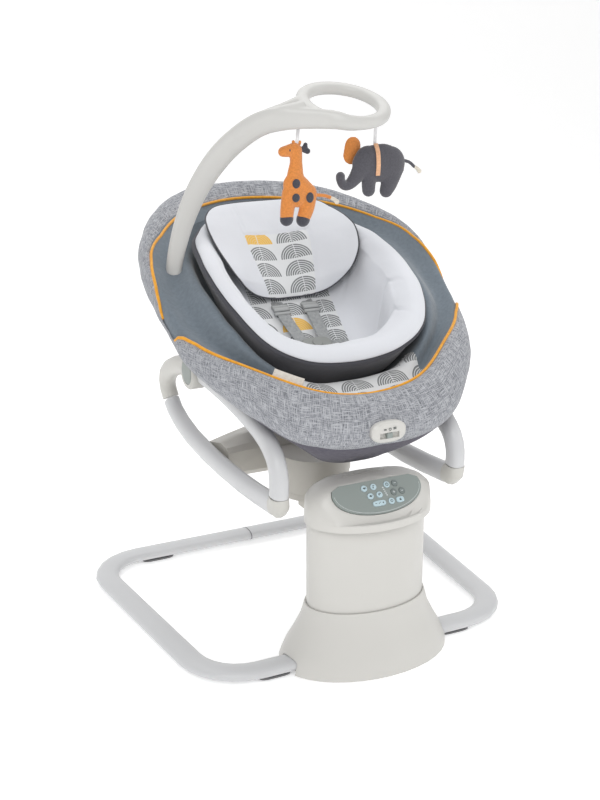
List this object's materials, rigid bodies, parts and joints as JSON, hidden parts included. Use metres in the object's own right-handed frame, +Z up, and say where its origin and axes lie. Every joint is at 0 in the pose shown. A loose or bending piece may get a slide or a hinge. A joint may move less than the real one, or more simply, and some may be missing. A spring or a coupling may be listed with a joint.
{
  "type": "baby swing",
  "caption": "Side-swaying baby seat on a drive tower and floor loop; the portable rocker lifts off its dock, the seat reclines, and an arch holds hanging toys.",
  "frame": {"origin": "On the floor, on the vertical axis that the swing arm turns about inside the tower.", "axes": "+Z is up, -Y is the tower's and the seat's front (foot end), +Y is the head end, +X is the right when facing +Y."},
  "size_m": [0.7128, 0.6875, 0.985],
  "materials": {
    "white_metal": "smooth white powder coat",
    "white_plastic": "fine satin off-white moulding",
    "warm_plastic": "satin warm light grey moulding",
    "dark_plastic": "satin black moulding",
    "panel_grey": "matte grey-green moulding",
    "key_blue": "matte pale blue moulding",
    "nylon": "natural nylon",
    "board": "green circuit board",
    "steel": "plain bent and turned steel",
    "bronze": "sintered bronze",
    "rubber": "matte black rubber",
    "heather": "heather grey slub weave and slate knit",
    "padding": "pale grey soft knit",
    "webbing": "grey webbing",
    "orange_plush": "orange brushed felt",
    "grey_plush": "dark grey felt"
  },
  "bodies": {
    "base": {"floor_tube_left": "white_metal", "floor_tube_right": "white_metal", "foot_pad_front_left": "rubber", "foot_pad_front_right": "rubber", "foot_pad_rear_left": "rubber", "foot_pad_rear_right": "rubber", "base_plate": "warm_plastic", "skirt": "white_plastic", "power_inlet": "dark_plastic", "tower_front_shell": "white_plastic", "tower_rear_shell": "white_plastic", "tower_cap": "white_plastic", "control_panel": "panel_grey", "circuit_board": "board", "speaker": "dark_plastic", "pivot_bracket": "steel", "bearing_upper": "bronze", "bearing_lower": "bronze", "drive_motor": "dark_plastic"},
    "swing_arm": {"pivot_shaft": "steel", "sector_gear": "nylon", "arm_upper_shell": "warm_plastic", "arm_lower_shell": "warm_plastic"},
    "pinion": {"drive_pinion": "nylon"},
    "latch": {"dock_latch": "panel_grey"},
    "rocker": {"rail_left": "white_metal", "rail_right": "white_metal", "upright_left": "white_metal", "upright_right": "white_metal", "rocker_foot_left": "warm_plastic", "rocker_foot_right": "warm_plastic", "hub_left": "warm_plastic", "hub_right": "warm_plastic", "cross_housing": "warm_plastic"},
    "seat": {"seat_frame": "steel", "seat_cover": "heather", "seat_pad": "padding", "body_insert": "padding", "head_cushion": "padding", "harness": "webbing", "buckle": "panel_grey", "vibration_unit": "white_plastic"},
    "recline_left": {"recline_button_left": "panel_grey"},
    "recline_right": {"recline_button_right": "panel_grey"},
    "toy_arch": {"toy_bar": "white_plastic"},
    "giraffe_toy": {"giraffe": "orange_plush"},
    "elephant_toy": {"elephant": "grey_plush"},
    "harness_release": {"buckle_button": "panel_grey"},
    "vibration_slider": {"vibration_switch": "panel_grey"},
    "key_sound_body": {"key_sound": "key_blue"},
    "key_music_body": {"key_music": "key_blue"},
    "key_mute_body": {"key_mute": "key_blue"},
    "key_nature_body": {"key_nature": "key_blue"},
    "key_volume_body": {"key_volume": "key_blue"},
    "key_timer_body": {"key_timer": "key_blue"},
    "key_swing_slow_body": {"key_swing_slow": "key_blue"},
    "key_swing_fast_body": {"key_swing_fast": "key_blue"},
    "key_swing_mode_body": {"key_swing_mode": "key_blue"},
    "key_power_body": {"key_power": "key_blue"},
    "key_lock_body": {"key_lock": "key_blue"}
  },
  "joints": [
    {"name": "swing", "type": "hinge", "parent": "base", "child": "swing_arm", "pos_m": [0, 0, 0.23], "axis": [0, 0, 1], "range_deg": [-12, 12]},
    {"name": "pinion_spin", "type": "hinge", "parent": "base", "child": "pinion", "pos_m": [-0.0504, 0, 0.134], "axis": [0, 0, 1], "range_deg": [-48.5, 48.5]},
    {"name": "latch_press", "type": "slide", "parent": "swing_arm", "child": "latch", "axis": [0, 0, -1], "range_m": [0, 0.008], "stiffness_N_per_m": 500},
    {"name": "rocker_lift", "type": "slide", "parent": "swing_arm", "child": "rocker", "axis": [0, 0, 1], "range_m": [0, 0.12]},
    {"name": "recline", "type": "hinge", "parent": "rocker", "child": "seat", "pos_m": [0, 0.306, 0.468], "axis": [-1, 0, 0], "range_deg": [0, 14]},
    {"name": "recline_press_left", "type": "slide", "parent": "rocker", "child": "recline_left", "axis": [1, 0, 0], "range_m": [0, 0.004], "stiffness_N_per_m": 600},
    {"name": "recline_press_right", "type": "slide", "parent": "rocker", "child": "recline_right", "axis": [-1, 0, 0], "range_m": [0, 0.004], "stiffness_N_per_m": 600},
    {"name": "toy_arch_turn", "type": "hinge", "parent": "seat", "child": "toy_arch", "pos_m": [-0.23, 0.298, 0.65], "axis": [0, 0, 1], "range_deg": [-90, 10]},
    {"name": "giraffe_swing", "type": "hinge", "parent": "toy_arch", "child": "giraffe_toy", "pos_m": [-0.078, 0.094, 0.922], "axis": [1, 0, 0], "range_deg": [-30, 30]},
    {"name": "elephant_swing", "type": "hinge", "parent": "toy_arch", "child": "elephant_toy", "pos_m": [0.064, 0.09, 0.922], "axis": [1, 0, 0], "range_deg": [-30, 30]},
    {"name": "buckle_press", "type": "slide", "parent": "seat", "child": "harness_release", "axis": [0, 0.4191, -0.908], "range_m": [0, 0.003], "stiffness_N_per_m": 600},
    {"name": "vibration_slide", "type": "slide", "parent": "seat", "child": "vibration_slider", "axis": [1, 0, 0], "range_m": [-0.012, 0.012]},
    {"name": "key_sound_press", "type": "slide", "parent": "base", "child": "key_sound_body", "axis": [0, 0.7314, -0.682], "range_m": [0, 0.001], "stiffness_N_per_m": 500},
    {"name": "key_music_press", "type": "slide", "parent": "base", "child": "key_music_body", "axis": [0, 0.7314, -0.682], "range_m": [0, 0.001], "stiffness_N_per_m": 500},
    {"name": "key_mute_press", "type": "slide", "parent": "base", "child": "key_mute_body", "axis": [0, 0.7314, -0.682], "range_m": [0, 0.001], "stiffness_N_per_m": 500},
    {"name": "key_nature_press", "type": "slide", "parent": "base", "child": "key_nature_body", "axis": [0, 0.7314, -0.682], "range_m": [0, 0.001], "stiffness_N_per_m": 500},
    {"name": "key_volume_press", "type": "slide", "parent": "base", "child": "key_volume_body", "axis": [0, 0.7314, -0.682], "range_m": [0, 0.001], "stiffness_N_per_m": 500},
    {"name": "key_timer_press", "type": "slide", "parent": "base", "child": "key_timer_body", "axis": [0, 0.7314, -0.682], "range_m": [0, 0.001], "stiffness_N_per_m": 500},
    {"name": "key_swing_slow_press", "type": "slide", "parent": "base", "child": "key_swing_slow_body", "axis": [0, 0.7314, -0.682], "range_m": [0, 0.001], "stiffness_N_per_m": 500},
    {"name": "key_swing_fast_press", "type": "slide", "parent": "base", "child": "key_swing_fast_body", "axis": [0, 0.7314, -0.682], "range_m": [0, 0.001], "stiffness_N_per_m": 500},
    {"name": "key_swing_mode_press", "type": "slide", "parent": "base", "child": "key_swing_mode_body", "axis": [0, 0.7314, -0.682], "range_m": [0, 0.001], "stiffness_N_per_m": 500},
    {"name": "key_power_press", "type": "slide", "parent": "base", "child": "key_power_body", "axis": [0, 0.7314, -0.682], "range_m": [0, 0.001], "stiffness_N_per_m": 500},
    {"name": "key_lock_press", "type": "slide", "parent": "base", "child": "key_lock_body", "axis": [0, 0.7314, -0.682], "range_m": [0, 0.001], "stiffness_N_per_m": 500}
  ],
  "couplings": [
    {"joint": "pinion_spin", "follows": "swing", "ratio": -4}
  ]
}
